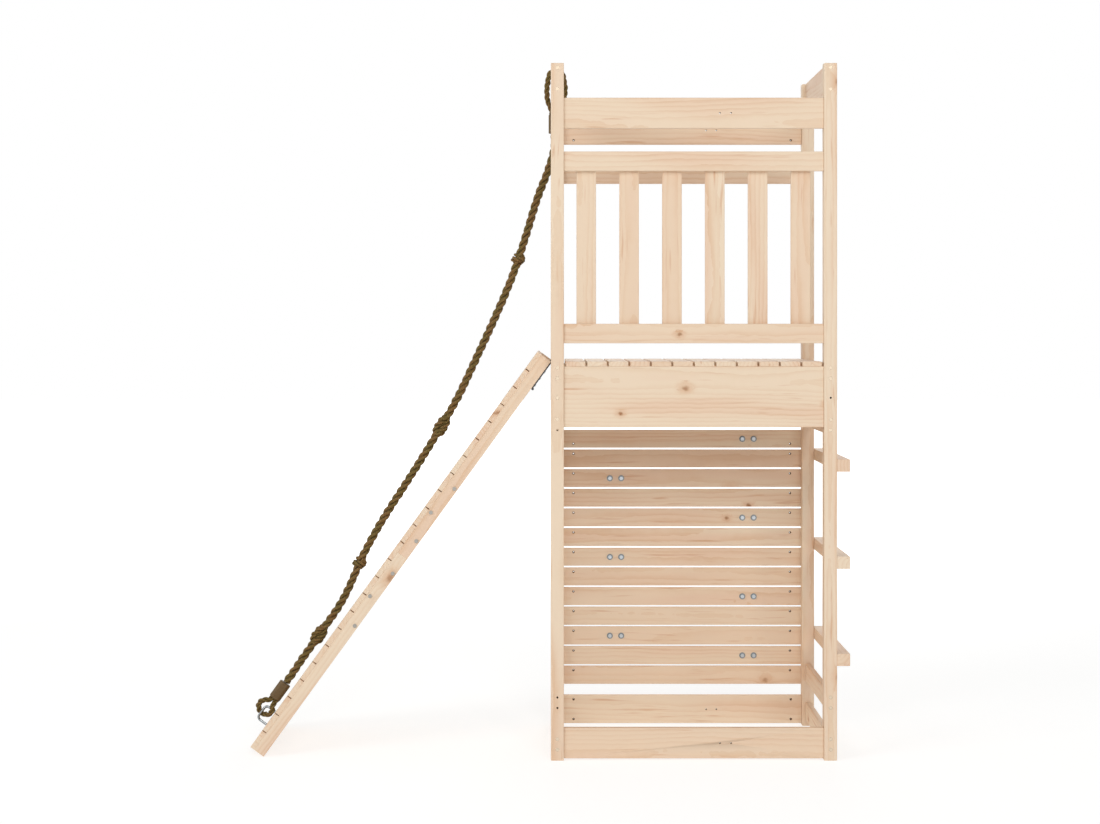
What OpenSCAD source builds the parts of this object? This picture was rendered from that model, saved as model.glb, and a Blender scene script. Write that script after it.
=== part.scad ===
// Wooden climbing frame: a tower with a deck, a slatted front railing, a climbing wall
// behind, a ladder on the right and a rope-assisted climbing ramp on the left.
// +Z is up, +X points to the ladder side and +Y to the climbing wall.

/* [Tower] */
// Overall width of the tower across its posts
tower_w = 878; // [760:1:1000]
// Overall depth of the tower across its posts
tower_d = 580; // [520:1:700]
// Height of the posts
tower_h = 2140; // [2100:1:2300]
// Side of the square posts
post = 40; // [36:1:48]
// Distance of the rails behind the outer faces of the posts
rail_setback = 6; // [3:1:8]
// Thickness of the rails
rail_t = 18; // [15:1:20]
// Height of the wide rails
wide_h = 94; // [80:1:100]
// Height of the narrow rails
narrow_h = 60; // [50:1:64]
// Clear height of the bottom rails above the ground
bottom_rail_z = 6; // [2:1:20]
// Clear height of the second side rail above the ground, ladder side
second_side_z = 148; // [120:1:180]
// Distance of the front and back top rails below the post tops
top_rail_drop = 106; // [100:1:140]

/* [Deck and railing] */
// Height of the deck surface
deck_z = 1224; // [1180:1:1260]
// Height of the front and back fascias under the deck
fascia_h = 187; // [150:1:195]
// Distance of the railing's foot rail above the deck
foot_rail_gap = 56; // [40:1:80]
// Distance of the railing's hand rail below the front top rail, lower edge to lower edge
hand_rail_drop = 131; // [110:1:160]
// Gap between the outer slats and the posts
slat_end_gap = 39; // [20:1:60]

/* [Boards] */
// Width of the boards
board_w = 60; // [50:1:64]
// Thickness of the boards
board_t = 15; // [12:1:17]
// Gap between neighbouring boards
board_gap = 6; // [3:1:8]
// Height of the climbing wall's lowest board above the ground
wall_z = 133; // [110:1:140]
// Diameter of the countersunk spare holes near the ends of the climbing wall's boards
wall_hole_d = 4; // [3:0.5:5]
// Diameter of their countersinks
wall_sink_d = 8; // [6:0.5:9]
// Distance of the spare holes from the posts
wall_hole_in = 36; // [34:1:45]

/* [Ladder] */
// Height step from rung to rung
rung_step = 298; // [270:1:320]
// Height of the rungs
rung_h = 38; // [30:1:45]
// Depth of the rungs, away from the posts
rung_w = 40; // [30:1:50]

/* [Ramp] */
// Length of the ramp along its slope
ramp_len = 1512; // [1450:1:1600]
// Distance of the ramp's sides from the posts, across the ramp
ramp_side_gap = 17; // [10:1:30]
// Width of the ramp's boards
ramp_board_w = 62.5; // [58:0.5:63]
// Gap that the ramp's boards are counted with
ramp_gap = 3.5; // [3:0.5:6]
// Height of the ramp's side beams, square to the slope
beam_h = 36; // [32:1:45]
// Width of the ramp's side beams
beam_w = 28; // [24:1:40]
// Length of the splice pieces inside the side beams
splice_len = 600; // [560:1:700]
// Thickness of the splice pieces
splice_t = 20; // [15:1:25]
// Length of the bracket's leg under a side beam
bracket_leg = 102; // [95:1:120]
// Width of the brackets
bracket_w = 26; // [20:1:28]
// Thickness of the brackets
bracket_t = 4; // [2:0.5:4]

/* [Rope anchor] */
// Diameter of the anchor's rod
anchor_rod_d = 8; // [6:0.5:9]
// Distance between the anchor's legs
anchor_pitch = 50; // [48:1:54]
// Distance of the anchor's first leg from the foot of the ramp
anchor_s = 30; // [28:1:32]
// Height of the anchor's crown above the boards, to the middle of its rod
anchor_rise = 37; // [36:1:42]
// Bend radius of the anchor's rod, to the middle of the rod
anchor_bend = 12; // [8:1:16]

/* [Rope] */
// Diameter of the rope
rope_d = 22; // [18:1:26]
// Diameter of the strand in the two eyes
eye_d = 16; // [12:1:16]
// Width of the sleeves that close the eyes
sleeve_w = 38; // [36:1:44]
// Thickness of the sleeves
sleeve_t = 24; // [20:1:30]
// Length of the sleeves
sleeve_len = 60; // [56:1:64]
// Diameter of the knots across the rope
knot_d = 46; // [40:1:50]

/* [Fasteners] */
// Diameter of the screws in the frame
screw_d = 6; // [4:0.5:7]
// Diameter of the flush screw heads in the frame
screw_head_d = 11; // [9:0.5:12]
// Height of the flush screw heads
screw_head_h = 2.5; // [2:0.5:4]
// Length of the screws in the frame
screw_len = 70; // [60:1:72]
// Distance of the screws from the edges of a rail
screw_edge = 14; // [12:1:18]
// Diameter of the screws in the boards
pin_d = 4; // [3:0.5:4.5]
// Diameter of the flush heads in the boards
pin_head_d = 8; // [6:0.5:9]
// Height of the flush heads in the boards
pin_head_h = 2; // [1.5:0.5:3]
// Length of the screws in the boards
pin_len = 25; // [20:1:26]
// Diameter of the bolts in the ramp's splices
bolt_d = 6; // [5:0.5:7]
// Diameter of the bolt heads on the ramp
bolt_head_d = 12; // [10:0.5:13]
// Height of the bolt heads on the ramp
bolt_head_h = 3; // [2:0.5:4]

/* [Climbing holds] */
// Width of the holds
hold_w = 120; // [90:1:140]
// Height of the holds
hold_h = 52; // [44:1:56]
// Distance that the holds stand off the boards
hold_t = 46; // [30:1:60]
// Distance of the holds from the middle of the wall
hold_x = 222; // [180:1:260]
// Distance between the two bolts of a hold
hold_pitch = 38; // [34:1:44]
// Diameter of the washers inside the wall
washer_d = 20; // [16:1:24]
// Thickness of the washers
washer_t = 2; // [1:0.5:3]
// Size of the nuts across their corners
nut_d = 13; // [12:0.5:15]
// Height of the nuts
nut_h = 6; // [5:0.5:7]

/* [Hidden] */

// General values
$fn = 48;
slat_count = 6;
rung_count = 3;
// Cutting tools run past the surfaces they cut by this much
overrun = 1;
// Radial clearance of screws and bolts in their holes
hole_clear = 0.25;
// Clearance between soft or curved pieces and their neighbours
soft_clear = 0.3;
// Clearance between the rope's ends and their sleeves, which lets the rope swing
swing_clear = 0.6;

// Room between the posts
inner_w = tower_w - 2 * post;
inner_d = tower_d - 2 * post;

// Ramp geometry: the underside meets the ground at its foot and the deck's edge at its top
ramp_w = inner_d - 2 * ramp_side_gap;
ramp_count = round(ramp_len / (ramp_board_w + ramp_gap));
ramp_step = (ramp_len - ramp_board_w) / (ramp_count - 1);
ramp_top_drop = 1;
ramp_rise = deck_z - ramp_top_drop;
ramp_angle = asin(ramp_rise / ramp_len);
ramp_t = beam_h + board_t;
ramp_run = ramp_len * cos(ramp_angle);
ramp_reach = ramp_run + ramp_t * sin(ramp_angle);

// Places: the origin is the middle of the whole footprint, on the ground
hold_out = board_t + hold_t;
x_left = (ramp_reach - tower_w - rung_w) / 2;
xc = x_left + tower_w / 2;
yc = -hold_out / 2;
ramp_foot_x = x_left - ramp_run;

// Heights of the rails, lowest edges
top_z = tower_h - top_rail_drop - wide_h;
side_top_z = tower_h - wide_h;
fascia_z = deck_z - board_t - fascia_h;
foot_rail_z = deck_z + foot_rail_gap;
hand_rail_z = top_z - hand_rail_drop;
joist_drop = 5;
joist_z = deck_z - joist_drop - narrow_h;
left_lower_lift = 11;
left_lower_z = fascia_z + left_lower_lift;
right_lower_drop = 22;
right_lower_z = fascia_z - right_lower_drop;
low_side_drop = 3;
low_side_z = bottom_rail_z + (wide_h - narrow_h) / 2 - low_side_drop;

// Front and back rails as [height of lowest edge, height of the rail]
front_rails = [
    [top_z, wide_h], [hand_rail_z, narrow_h], [foot_rail_z, narrow_h],
    [fascia_z, fascia_h], [bottom_rail_z, wide_h]
];
back_rails = [[top_z, wide_h], [hand_rail_z, narrow_h], [fascia_z, fascia_h], [bottom_rail_z, wide_h]];
left_rails = [
    [side_top_z, wide_h], [joist_z, narrow_h], [left_lower_z, wide_h], [low_side_z, narrow_h]
];
right_rails = [
    [side_top_z, wide_h], [joist_z, narrow_h], [right_lower_z, narrow_h],
    [second_side_z, narrow_h], [low_side_z, narrow_h]
];

// Spare holes that the posts keep where the other side has a rail
spare_hole_d = 6.5;
spare_pair_zs = [second_side_z + screw_edge, second_side_z + narrow_h - screw_edge];

// Pairs of small spare holes in the wide rails, to the right of their middles
rail_hole_d = 5;
rail_hole_x = 97;
rail_hole_pitch = 34;

// Side rails sit in the middle of the posts
side_setback = (post - rail_t) / 2;

// Climbing wall: boards across the outer faces of the back posts
wall_face_y = yc + tower_d / 2 + board_t;
wall_pin_share = 0.75;
wall_hole_share = 0.77;
wall_count = floor((fascia_z - wall_z + board_gap) / (board_w + board_gap));

// Boards with a hold, counted from the top, and the holds' sides, right and left in turn
hold_board_counts = [1, 3, 5, 7, 9, 11, 12];
hold_rows = [
    for (i = [0 : len(hold_board_counts) - 1])
        if (hold_board_counts[i] <= wall_count) [hold_board_counts[i], i % 2 == 0 ? 1 : -1]
];
hold_corner_d = 24;
hold_base_t = 6;
hold_top_share = 0.55;
hold_skew_share = 0.12;
hold_seat_share = 0.5;

// Deck and slat layout
deck_count = floor((inner_w - board_gap) / (board_w + board_gap));
deck_first_x = xc - (deck_count * board_w + (deck_count - 1) * board_gap) / 2;
deck_len = tower_d - 2 * rail_setback;
slat_len = hand_rail_z + narrow_h - foot_rail_z;
slat_step = (inner_w - 2 * slat_end_gap - board_w) / (slat_count - 1);
slat_y = yc - tower_d / 2 + rail_setback + rail_t + board_t / 2;

// Ramp fasteners, as distances along the slope from its middle and from a beam's underside
bolt_spots = [62, 160, 262];
bolt_edge = 10;
bracket_screw_spots = [38, 63, 88];
bracket_up_pitch = 14;
bracket_up_spots = [for (k = [-1, 1]) (narrow_h + k * bracket_up_pitch) / 2];
bracket_screw_len = 18;
bracket_roll_d = 8;

// Threads stand out of their nuts by this much
bolt_tail = 3;
anchor_tail = 14;

// Rungs
ladder_drop = 2;
rung_bolt_len = 60;
rung_bolt_d = 8;
rung_head_d = 16;
rung_head_h = 5;

// Rope route, from the top sleeve to the foot sleeve, in the plane of the rope
rope_y = yc;
rope_route = [
    [18, 1950], [18, 1910], [10, 1872], [-10, 1812], [-38, 1740], [-76, 1616], [-120, 1486],
    [-174, 1358], [-234, 1228], [-296, 1098], [-370, 970], [-450, 842], [-532, 714], [-594, 602],
    [-660, 458], [-738, 342], [-794, 262], [-824, 217], [-845, 188]
];
// The top eye's route, along X and Z from the top end of the top sleeve
top_eye_route = [
    [-8.5, 0], [-8.5, 10], [-15, 28], [-22, 46], [-24, 66], [-24, 88], [-21, 108], [-17, 125.5],
    [-11, 137.3], [3, 137.8], [16, 137.9], [24, 134.6], [28, 124], [31, 108], [33.5, 92], [34, 74],
    [31, 52], [24, 34], [14, 19], [8.5, 10], [8.5, 0]
];
// The foot eye's route, along the slope, across it and away from it, from the foot sleeve's end
foot_eye_route = [
    [0, 0, 8.5], [-10, 0, 8.5], [-21, 1, 20], [-30, 2, 28], [-40, 4, 30], [-50, 7, 28], [-59, 10, 21],
    [-63, 12.5, 14], [-64.5, 12.6, 8], [-64, 11, 2], [-62, 8, -3], [-57, 1, -11], [-48.5, -6, -16.5],
    [-40, -12, -18], [-33, -12.8, -17], [-25, -11, -12], [-18, -5, -9], [-10, 0, -8.5], [0, 0, -8.5]
];
// Knots: their places as shares of the route's points, and their lengths along the rope
knot_place_shares = [0.307, 0.537, 0.734, 0.833];
knot_lens = [46, 74, 48, 68];
rope_sides = 10;
eye_sides = 8;
rope_steps = 4;
// The rope necks down where it enters a sleeve, so that it can swing there
neck_share = 0.1;

// Colours
pine = [0.91, 0.80, 0.66];
pine_dark = [0.86, 0.72, 0.56];
zinc = [0.72, 0.74, 0.76];
steel = [0.36, 0.35, 0.34];
rope_brown = [0.32, 0.25, 0.12];
sleeve_brown = [0.36, 0.27, 0.17];
hold_colours = ["firebrick", "goldenrod", "seagreen", "steelblue"];

// A box by its middle in X and Y and its lowest height
module block(x, y, z, size) {
    translate([x - size.x / 2, y - size.y / 2, z]) cube(size);
}

// A flush screw along +Z from its head, and the hole that it sits in
module screw(d, head_d, head_h, len) {
    cylinder(d = head_d, h = head_h);
    cylinder(d = d, h = len);
}

module screw_hole(d, head_d, head_h, len) {
    translate([0, 0, -overrun]) cylinder(d = head_d + 2 * hole_clear, h = head_h + overrun);
    cylinder(d = d + 2 * hole_clear, h = len + overrun);
}

// Turns +Z to run along +X (dir 1) or -X (dir -1), or along +Y or -Y
module along_x(place, dir) {
    translate(place) rotate([0, dir * 90, 0]) children();
}

module along_y(place, dir) {
    translate(place) rotate([-dir * 90, 0, 0]) children();
}

// The two screw heights of a rail
function rail_screws(rail) = [rail[0] + screw_edge, rail[0] + rail[1] - screw_edge];

// Lines of the front or back rails (end -1 front, 1 back) and of the side rails (-1 left, 1 right)
function face_y(end) = yc + end * (tower_d / 2 - rail_setback - rail_t / 2);
function side_x(side) = xc + side * (tower_w / 2 - side_setback - rail_t / 2);
function rails_of_end(end) = end < 0 ? front_rails : back_rails;
function rails_of_side(side) = side < 0 ? left_rails : right_rails;

// Places a fastener at both screws of a rail's end in the front or back
module at_face_screws(rail, end, side) {
    for (z = rail_screws(rail))
        along_x([xc + side * tower_w / 2, face_y(end), z], -side) children();
}

// Places a fastener at both screws of a side rail's end
module at_side_screws(rail, end, side) {
    for (z = rail_screws(rail))
        along_y([side_x(side), yc + end * tower_d / 2, z], -end) children();
}

module frame_screw() {
    screw(screw_d, screw_head_d, screw_head_h, screw_len);
}

module frame_screw_hole() {
    screw_hole(screw_d, screw_head_d, screw_head_h, screw_len);
}

// A corner post with the holes of the rails that meet it
module corner_post(side, end) {
    color(pine) difference() {
        block(
            xc + side * (tower_w - post) / 2, yc + end * (tower_d - post) / 2, 0,
            [post, post, tower_h]
        );
        for (rail = rails_of_end(end)) at_face_screws(rail, end, side) frame_screw_hole();
        for (rail = rails_of_side(side)) at_side_screws(rail, end, side) frame_screw_hole();
        spare_holes(side, end);
        if (side > 0) for (i = [0 : rung_count - 1]) at_rung_bolt(i, end) rung_bolt_hole();
        if (end > 0) wall_pins() pin_hole();
    }
}

// The left posts keep a pair of empty holes and a single one, the right posts a single one
module spare_holes(side, end) {
    pair = side < 0 ? spare_pair_zs : [];
    single = side < 0 ? rail_screws(right_rails[2])[0] : rail_screws(left_rails[2])[1];
    for (z = concat(pair, [single]))
        along_y([side_x(side), yc + end * (tower_d / 2 + overrun), z], -end)
            cylinder(d = spare_hole_d, h = post + 2 * overrun);
}

module post_front_left() { corner_post(-1, -1); }
module post_front_right() { corner_post(1, -1); }
module post_back_left() { corner_post(-1, 1); }
module post_back_right() { corner_post(1, 1); }

// A rail between the two front or the two back posts
module face_rail(rail, end) {
    color(pine) difference() {
        block(xc, face_y(end), rail[0], [inner_w, rail_t, rail[1]]);
        for (side = [-1, 1]) at_face_screws(rail, end, side) frame_screw_hole();
        if (rail[0] == hand_rail_z || rail[0] == foot_rail_z) slat_pins() pin_hole();
        if (rail[0] == fascia_z) deck_pins() pin_hole();
        if (rail[1] == wide_h) rail_pair_holes(rail, end);
        if (rail[1] == wide_h && end > 0) rail_end_holes(rail);
    }
}

// Spare holes through a wide rail: a pair near its middle, and in the back two near each end
module rail_pair_holes(rail, end) {
    for (k = [-1, 1])
        along_y(
            [
                xc + rail_hole_x + k * rail_hole_pitch / 2, face_y(end) - rail_t / 2 - overrun,
                rail[0] + rail[1] / 2
            ], 1
        ) cylinder(d = rail_hole_d, h = rail_t + 2 * overrun);
}

module rail_end_holes(rail) {
    for (side = [-1, 1], z = rail_screws(rail))
        along_y([xc + side * (inner_w / 2 - wall_hole_in), face_y(1) - rail_t / 2, z], 1)
            sunk_hole(rail_t);
}

// A spare hole through a board, along +Z from its countersunk face
module sunk_hole(depth) {
    translate([0, 0, -overrun]) cylinder(d = wall_hole_d, h = depth + 2 * overrun);
    cylinder(d1 = wall_sink_d, d2 = wall_hole_d, h = (wall_sink_d - wall_hole_d) / 2);
}

// A rail between the front and back posts of one side
module side_rail(rail, side) {
    color(pine) difference() {
        block(side_x(side), yc, rail[0], [rail_t, inner_d, rail[1]]);
        for (end = [-1, 1]) at_side_screws(rail, end, side) frame_screw_hole();
        if (side < 0 && rail[0] == joist_z) bracket_up_screws() bracket_screw_hole();
    }
}

module front_top_rail() { face_rail(front_rails[0], -1); }
module hand_rail() { face_rail(front_rails[1], -1); }
module foot_rail() { face_rail(front_rails[2], -1); }
module front_fascia() { face_rail(front_rails[3], -1); }
module front_bottom_rail() { face_rail(front_rails[4], -1); }
module back_top_rail() { face_rail(back_rails[0], 1); }
module back_guard_rail() { face_rail(back_rails[1], 1); }
module back_fascia() { face_rail(back_rails[2], 1); }
module back_bottom_rail() { face_rail(back_rails[3], 1); }
module left_top_rail() { side_rail(left_rails[0], -1); }
module left_joist() { side_rail(left_rails[1], -1); }
module left_lower_joist() { side_rail(left_rails[2], -1); }
module left_bottom_rail() { side_rail(left_rails[3], -1); }
module right_top_rail() { side_rail(right_rails[0], 1); }
module right_joist() { side_rail(right_rails[1], 1); }
module right_lower_joist() { side_rail(right_rails[2], 1); }
module right_second_rail() { side_rail(right_rails[3], 1); }
module right_bottom_rail() { side_rail(right_rails[4], 1); }

// Screws of the boards
module pin() {
    screw(pin_d, pin_head_d, pin_head_h, pin_len);
}

module pin_hole() {
    screw_hole(pin_d, pin_head_d, pin_head_h, pin_len);
}

// Railing slats, behind the hand rail and the foot rail and screwed on from behind
function slat_x(i) = xc - inner_w / 2 + slat_end_gap + board_w / 2 + i * slat_step;

module slat_pins() {
    for (i = [0 : slat_count - 1], z = [foot_rail_z + narrow_h / 2, hand_rail_z + narrow_h / 2])
        along_y([slat_x(i), slat_y + board_t / 2, z], -1) children();
}

module slat(i) {
    color(pine) difference() {
        block(slat_x(i), slat_y, foot_rail_z, [board_w, board_t, slat_len]);
        slat_pins() pin_hole();
    }
}

// Deck boards, laid from the front fascia to the back fascia
function deck_x(i) = deck_first_x + board_w / 2 + i * (board_w + board_gap);

module deck_pins() {
    for (i = [0 : deck_count - 1], end = [-1, 1])
        translate([deck_x(i), face_y(end), deck_z]) mirror([0, 0, 1]) children();
}

module deck_boards() {
    color(pine) difference() {
        for (i = [0 : deck_count - 1])
            block(deck_x(i), yc, deck_z - board_t, [board_w, deck_len, board_t]);
        deck_pins() pin_hole();
    }
}

// Ladder rungs across the outer faces of the right posts, with a bolt into each post
function rung_z(i) = deck_z - (i + 1) * rung_step - ladder_drop - rung_h;

module at_rung_bolt(i, end) {
    along_x(
        [xc + tower_w / 2 + rung_w, yc + end * (tower_d - post) / 2, rung_z(i) + rung_h / 2], -1
    ) children();
}

module rung_bolt() {
    screw(rung_bolt_d, rung_head_d, rung_head_h, rung_bolt_len);
}

module rung_bolt_hole() {
    screw_hole(rung_bolt_d, rung_head_d, rung_head_h, rung_bolt_len);
}

module rung(i) {
    color(pine) difference() {
        block(xc + (tower_w + rung_w) / 2, yc, rung_z(i), [rung_w, tower_d, rung_h]);
        for (end = [-1, 1]) at_rung_bolt(i, end) rung_bolt_hole();
    }
}

// Climbing wall: boards across the back posts, screwed on from outside
function wall_board_z(i) = wall_z + i * (board_w + board_gap);

module wall_pins() {
    for (i = [0 : wall_count - 1], side = [-1, 1])
        along_y(
            [
                xc + side * (tower_w / 2 - post * wall_pin_share), wall_face_y,
                wall_board_z(i) + board_w / 2
            ], -1
        ) children();
}

// Spare holes near the boards' ends, in their upper parts, and in the top board in its lower part
module wall_holes() {
    for (i = [0 : wall_count - 1], side = [-1, 1])
        along_y(
            [
                xc + side * (inner_w / 2 - wall_hole_in), wall_face_y - board_t,
                wall_board_z(i) + board_w * (i < wall_count - 1 ? wall_hole_share : 1 - wall_hole_share)
            ], 1
        ) sunk_hole(board_t);
}

// The two bolts of every hold, from the inner face of the wall outwards
module at_hold_bolts() {
    for (row = hold_rows, k = [-1, 1])
        along_y(
            [
                xc + row[1] * hold_x + k * hold_pitch / 2, wall_face_y - board_t,
                wall_board_z(wall_count - row[0]) + board_w / 2
            ], 1
        ) children();
}

module wall_boards() {
    color(pine_dark) difference() {
        for (i = [0 : wall_count - 1])
            block(xc, wall_face_y - board_t / 2, wall_board_z(i), [tower_w, board_t, board_w]);
        wall_pins() pin_hole();
        wall_holes();
        at_hold_bolts() translate([0, 0, -overrun])
            cylinder(d = bolt_d + 2 * hole_clear, h = board_t + 2 * overrun);
    }
}

// A climbing hold: a rounded lump on the outer face of the wall
module hold_shape() {
    span = [hold_w - hold_corner_d, hold_h - hold_corner_d];
    hull() {
        for (sx = [-1, 1], sy = [-1, 1])
            translate([sx * span.x / 2, sy * span.y / 2, 0])
                cylinder(d = hold_corner_d, h = hold_base_t, $fn = 24);
        translate([0, hold_h * hold_skew_share, hold_t - hold_corner_d / 2])
            for (sx = [-1, 1])
                translate([sx * span.x * hold_top_share / 2, 0, 0]) sphere(d = hold_corner_d, $fn = 24);
    }
}

module climbing_holds() {
    difference() {
        for (i = [0 : len(hold_rows) - 1])
            color(hold_colours[i % len(hold_colours)])
                along_y(
                    [
                        xc + hold_rows[i][1] * hold_x, wall_face_y,
                        wall_board_z(wall_count - hold_rows[i][0]) + board_w / 2
                    ], 1
                ) rotate([0, 0, 180]) hold_shape();
        at_hold_bolts() cylinder(d = bolt_d + 2 * hole_clear, h = board_t + hold_t + overrun);
        at_hold_bolts() translate([0, 0, board_t + hold_t * hold_seat_share])
            cylinder(d = bolt_head_d + 2 * hole_clear, h = hold_t);
    }
}

// Bolts of the holds, with their washers and nuts on the inner face of the wall
module hold_bolts() {
    seat = board_t + hold_t * hold_seat_share;
    color(zinc) at_hold_bolts() {
        translate([0, 0, -washer_t - nut_h]) cylinder(d = bolt_d, h = seat + washer_t + nut_h);
        translate([0, 0, -washer_t]) cylinder(d = washer_d, h = washer_t);
        translate([0, 0, -washer_t - nut_h]) cylinder(d = nut_d, h = nut_h, $fn = 6);
        translate([0, 0, seat]) cylinder(d = bolt_head_d, h = bolt_head_h);
    }
}

// The ramp's own frame: X runs up the slope from its foot, Z away from the beams' undersides
module on_ramp() {
    translate([ramp_foot_x, yc, 0]) rotate([0, -ramp_angle, 0]) children();
}

function beam_y(end) = end * (ramp_w - beam_w) / 2;

// Bolts through a side beam into its splice, near its lower and upper edges in turn
module at_splice_bolts(end) {
    for (half = [-1, 1], k = [0 : len(bolt_spots) - 1])
        along_y(
            [
                ramp_len / 2 + half * bolt_spots[k], end * ramp_w / 2,
                k == 1 ? beam_h - bolt_edge : bolt_edge
            ], -end
        ) children();
}

module splice_bolt() {
    translate([0, 0, -bolt_head_h]) cylinder(d = bolt_head_d, h = bolt_head_h);
    cylinder(d = bolt_d, h = beam_w + splice_t + nut_h + bolt_tail);
    translate([0, 0, beam_w + splice_t]) cylinder(d = nut_d, h = nut_h, $fn = 6);
}

module splice_bolt_hole() {
    translate([0, 0, -overrun])
        cylinder(d = bolt_d + 2 * hole_clear, h = beam_w + splice_t + 2 * overrun);
}

// Screws that hold the ramp's boards
module ramp_pins() {
    for (i = [0 : ramp_count - 1], end = [-1, 1])
        translate([i * ramp_step + ramp_board_w / 2, beam_y(end), ramp_t])
            mirror([0, 0, 1]) children();
}

// Screws of a bracket, up into the beam and sideways into the joist
module bracket_beam_screws() {
    for (end = [-1, 1], spot = bracket_screw_spots)
        translate([ramp_len - spot, beam_y(end), -bracket_t - pin_head_h]) children();
}

module bracket_up_screws() {
    for (end = [-1, 1], spot = bracket_up_spots)
        along_x(
            [x_left + side_setback - bracket_t - pin_head_h, yc + beam_y(end), joist_z + spot], 1
        ) children();
}

module bracket_screw() {
    screw(pin_d, pin_head_d, pin_head_h, bracket_screw_len);
}

module bracket_screw_hole() {
    cylinder(d = pin_d + 2 * hole_clear, h = bracket_screw_len + overrun);
}

module ramp_beam(end, half) {
    color(pine) on_ramp() difference() {
        translate([half * ramp_len / 2, beam_y(end) - beam_w / 2, 0])
            cube([ramp_len / 2, beam_w, beam_h]);
        at_splice_bolts(end) splice_bolt_hole();
        ramp_pins() pin_hole();
        bracket_beam_screws() bracket_screw_hole();
    }
}

module ramp_splice(end) {
    color(pine_dark) on_ramp() difference() {
        translate([
            ramp_len / 2 - splice_len / 2,
            end * (ramp_w / 2 - beam_w - splice_t / 2) - splice_t / 2,
            0
        ]) cube([splice_len, splice_t, beam_h]);
        at_splice_bolts(end) splice_bolt_hole();
    }
}

module ramp_boards() {
    color(pine) on_ramp() difference() {
        for (i = [0 : ramp_count - 1])
            translate([i * ramp_step, -ramp_w / 2, beam_h])
                cube([ramp_board_w, ramp_w, board_t]);
        ramp_pins() pin_hole();
        at_anchor_legs() translate([0, 0, beam_h - overrun])
            cylinder(d = anchor_rod_d + 2 * hole_clear, h = board_t + 2 * overrun);
    }
}

module ramp_beam_front_lower() { ramp_beam(-1, 0); }
module ramp_beam_front_upper() { ramp_beam(-1, 1); }
module ramp_beam_back_lower() { ramp_beam(1, 0); }
module ramp_beam_back_upper() { ramp_beam(1, 1); }
module ramp_splice_front() { ramp_splice(-1); }
module ramp_splice_back() { ramp_splice(1); }

// A bent steel strap under a side beam, fixed to the left joist
function ramp_xz(s, n) = [
    ramp_foot_x + s * cos(ramp_angle) - n * sin(ramp_angle),
    s * sin(ramp_angle) + n * cos(ramp_angle)
];

module bracket(end) {
    joist_face = x_left + side_setback;
    bend = bracket_t * (1 - cos(ramp_angle)) / sin(ramp_angle);
    color(steel) difference() {
        union() {
            translate([0, yc + beam_y(end), 0]) rotate([90, 0, 0])
                linear_extrude(height = bracket_w, center = true) polygon([
                    ramp_xz(ramp_len - bracket_leg, 0),
                    ramp_xz(ramp_len, 0),
                    [joist_face, ramp_rise],
                    [joist_face, joist_z],
                    [joist_face - bracket_t, joist_z],
                    [joist_face - bracket_t, ramp_rise - bracket_t],
                    ramp_xz(ramp_len - bend, -bracket_t),
                    ramp_xz(ramp_len - bracket_leg, -bracket_t)
                ]);
            on_ramp() translate([ramp_len - bracket_leg, beam_y(end), -bracket_roll_d / 2 - soft_clear])
                rotate([90, 0, 0]) cylinder(d = bracket_roll_d, h = bracket_w, center = true);
        }
        on_ramp() bracket_beam_screws() bracket_screw_hole();
        bracket_up_screws() bracket_screw_hole();
    }
}

module bracket_front() { bracket(-1); }
module bracket_back() { bracket(1); }

// The rope's anchor at the foot of the ramp: a bent rod whose legs pass through two boards
module at_anchor_legs() {
    for (k = [0, 1]) translate([anchor_s + k * anchor_pitch, 0, 0]) children();
}

module rope_anchor() {
    leg_top = ramp_t + anchor_rise - anchor_bend;
    color(zinc) on_ramp() {
        at_anchor_legs() translate([0, 0, beam_h - anchor_tail])
            cylinder(d = anchor_rod_d, h = leg_top - beam_h + anchor_tail);
        for (k = [0, 1])
            translate([anchor_s + k * anchor_pitch + (1 - 2 * k) * anchor_bend, 0, leg_top])
                rotate([90, 0, 0]) rotate([0, 0, k == 0 ? 90 : 0])
                    rotate_extrude(angle = 90) translate([anchor_bend, 0]) circle(d = anchor_rod_d);
        translate([anchor_s + anchor_bend, 0, leg_top + anchor_bend]) rotate([0, 90, 0])
            cylinder(d = anchor_rod_d, h = anchor_pitch - 2 * anchor_bend);
    }
}

module anchor_nuts() {
    color(zinc) on_ramp() at_anchor_legs() difference() {
        union() {
            translate([0, 0, beam_h - washer_t]) cylinder(d = washer_d, h = washer_t);
            translate([0, 0, beam_h - washer_t - nut_h]) cylinder(d = nut_d, h = nut_h, $fn = 6);
        }
        translate([0, 0, beam_h - washer_t - nut_h - overrun])
            cylinder(d = anchor_rod_d + 2 * hole_clear, h = washer_t + nut_h + 2 * overrun);
    }
}

// A tube swept along points, with one radius for each point
function unit(v) = v / norm(v);
function heading(pts, i) = unit(pts[min(i + 1, len(pts) - 1)] - pts[max(i - 1, 0)]);

function ring_points(p, t, r, sides) =
    let (e1 = unit(cross([0, 1, 0], t)), e2 = cross(t, e1))
    [for (k = [0 : sides - 1]) p + r * (cos(k * 360 / sides) * e1 + sin(k * 360 / sides) * e2)];

module tube(pts, radii, sides) {
    count = len(pts);
    rings = [for (i = [0 : count - 1]) each ring_points(pts[i], heading(pts, i), radii[i], sides)];
    walls = [
        for (i = [0 : count - 2], k = [0 : sides - 1])
            let (a = i * sides + k, b = i * sides + (k + 1) % sides)
            each [[a, a + sides, b], [b, a + sides, b + sides]]
    ];
    caps = concat(
        [for (k = [1 : sides - 2]) [0, k, k + 1]],
        [for (k = [1 : sides - 2]) let (z = (count - 1) * sides) [z, z + k + 1, z + k]]
    );
    polyhedron(points = rings, faces = concat(walls, caps));
}

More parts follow.
